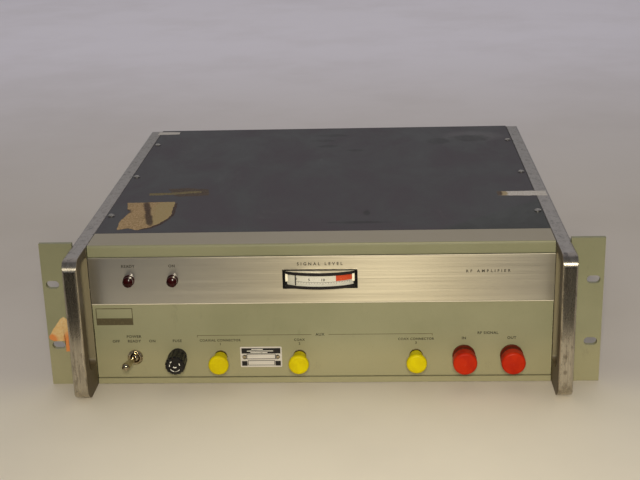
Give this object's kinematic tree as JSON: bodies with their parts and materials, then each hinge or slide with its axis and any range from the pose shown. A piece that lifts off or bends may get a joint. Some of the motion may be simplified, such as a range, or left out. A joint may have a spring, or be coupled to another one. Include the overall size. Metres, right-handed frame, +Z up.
{
  "type": "rack-mounted microwave amplifier",
  "caption": "Low rack cabinet with cast side frames ending in handles, an edgewise meter, pilot lamps, a toggle switch, a fuse and capped coaxial jacks.",
  "frame": {"origin": "middle of the base, under the centre of the whole unit", "axes": "+Z up, the front panel faces -Y, +X to the right seen from the front"},
  "size_m": [0.4826, 0.444, 0.1325],
  "materials": {
    "frame_metal": "satin brushed cast aluminium",
    "trim_metal": "horizontally brushed and clear lacquered",
    "panel_paint": "satin green-grey enamel",
    "cover_paint": "worn charcoal vinyl paint",
    "bare_sheet": "iridite treated sheet",
    "screw_steel": "plated steel",
    "bright_nickel": "nickel plated",
    "plate_metal": "etched plate with black fields",
    "black_plastic": "black phenolic",
    "yellow_plastic": "moulded polythene",
    "red_plastic": "moulded polythene",
    "lamp_red": "translucent red jewel",
    "clear_plastic": "clear moulded window",
    "bulb_glass": "clear glass",
    "scale_white": "matt white scale",
    "pointer_dark": "blackened aluminium",
    "brass_metal": "bare brass",
    "copper_line": "copper semi-rigid line",
    "core_steel": "varnished laminations",
    "black_enamel": "black enamel",
    "can_metal": "drawn aluminium can",
    "magnet_grey": "grey lacquer",
    "board_green": "glass epoxy board",
    "parts_tan": "moulded components",
    "fan_grey": "cast and painted"
  },
  "bodies": {
    "cabinet": {"left_side_frame": "frame_metal", "right_side_frame": "frame_metal", "top_cover": "cover_paint", "bottom_cover": "cover_paint", "left_side_cover": "cover_paint", "right_side_cover": "cover_paint", "top_rail": "panel_paint", "front_panel": "panel_paint", "trim_strip": "trim_metal", "filler_strip": "panel_paint", "left_rack_ear": "panel_paint", "right_rack_ear": "panel_paint", "rear_panel": "bare_sheet", "chassis_deck": "bare_sheet", "ear_screws": "screw_steel", "panel_screws": "screw_steel", "cover_screws": "screw_steel", "rear_screws": "screw_steel", "data_plate": "plate_metal", "plate_pins": "bright_nickel", "switch_body": "bright_nickel", "switch_nut": "bright_nickel", "fuse_holder": "black_plastic", "lamp_jewels": "lamp_red", "lamp_holders": "black_plastic", "lamp_bulbs": "bulb_glass", "meter_case": "black_plastic", "meter_window": "clear_plastic", "meter_scale": "scale_white", "small_jack_1": "bright_nickel", "small_jack_2": "bright_nickel", "small_jack_3": "bright_nickel", "large_jack_1": "bright_nickel", "large_jack_2": "bright_nickel", "panel_nuts": "screw_steel", "amplifier_tube": "magnet_grey", "tube_saddles": "bare_sheet", "input_coax": "copper_line", "output_coax": "copper_line", "transformer_core": "core_steel", "transformer_bells": "black_enamel", "filter_capacitors": "can_metal", "regulator_board": "board_green", "board_parts": "parts_tan", "board_posts": "brass_metal", "fan_frame": "fan_grey", "fan_guard": "screw_steel", "mains_inlet": "black_plastic", "inlet_pins": "brass_metal"},
    "lever": {"toggle_lever": "bright_nickel"},
    "pointer": {"meter_pointer": "pointer_dark"},
    "fuse_carrier": {"fuse_carrier": "brass_metal", "fuse_link": "bulb_glass"},
    "fuse_cap": {"fuse_cap": "black_plastic"},
    "fan_rotor": {"fan_rotor": "fan_grey"},
    "small_cap_1": {"small_cap_1": "yellow_plastic"},
    "small_cap_2": {"small_cap_2": "yellow_plastic"},
    "small_cap_3": {"small_cap_3": "yellow_plastic"},
    "large_cap_1": {"large_cap_1": "red_plastic"},
    "large_cap_2": {"large_cap_2": "red_plastic"}
  },
  "joints": [
    {"name": "toggle_throw", "type": "hinge", "parent": "cabinet", "child": "lever", "pos_m": [-0.1652, -0.1838, 0.026], "axis": [0, 0, 1], "range_deg": [0, 26]},
    {"name": "pointer_swing", "type": "hinge", "parent": "cabinet", "child": "pointer", "pos_m": [0, -0.13032, 0.09875], "axis": [0, 0, 1], "range_deg": [0, 47], "stiffness_Nm_per_rad": 0.0005},
    {"name": "fuse_pull", "type": "slide", "parent": "cabinet", "child": "fuse_carrier", "axis": [0, -1, 0], "range_m": [0, 0.048]},
    {"name": "fuse_cap_turn", "type": "hinge", "parent": "fuse_carrier", "child": "fuse_cap", "pos_m": [-0.1272, -0.189, 0.026], "axis": [0, -1, 0], "range_deg": [0, 60]},
    {"name": "fan_spin", "type": "hinge", "parent": "cabinet", "child": "fan_rotor", "pos_m": [0.142, 0.1783, 0.053], "axis": [0, 1, 0], "continuous": true},
    {"name": "small_cap_1_pull", "type": "slide", "parent": "cabinet", "child": "small_cap_1", "axis": [0, -1, 0], "range_m": [0, 0.03]},
    {"name": "small_cap_2_pull", "type": "slide", "parent": "cabinet", "child": "small_cap_2", "axis": [0, -1, 0], "range_m": [0, 0.03]},
    {"name": "small_cap_3_pull", "type": "slide", "parent": "cabinet", "child": "small_cap_3", "axis": [0, -1, 0], "range_m": [0, 0.03]},
    {"name": "large_cap_1_pull", "type": "slide", "parent": "cabinet", "child": "large_cap_1", "axis": [0, -1, 0], "range_m": [0, 0.03]},
    {"name": "large_cap_2_pull", "type": "slide", "parent": "cabinet", "child": "large_cap_2", "axis": [0, -1, 0], "range_m": [0, 0.03]}
  ]
}
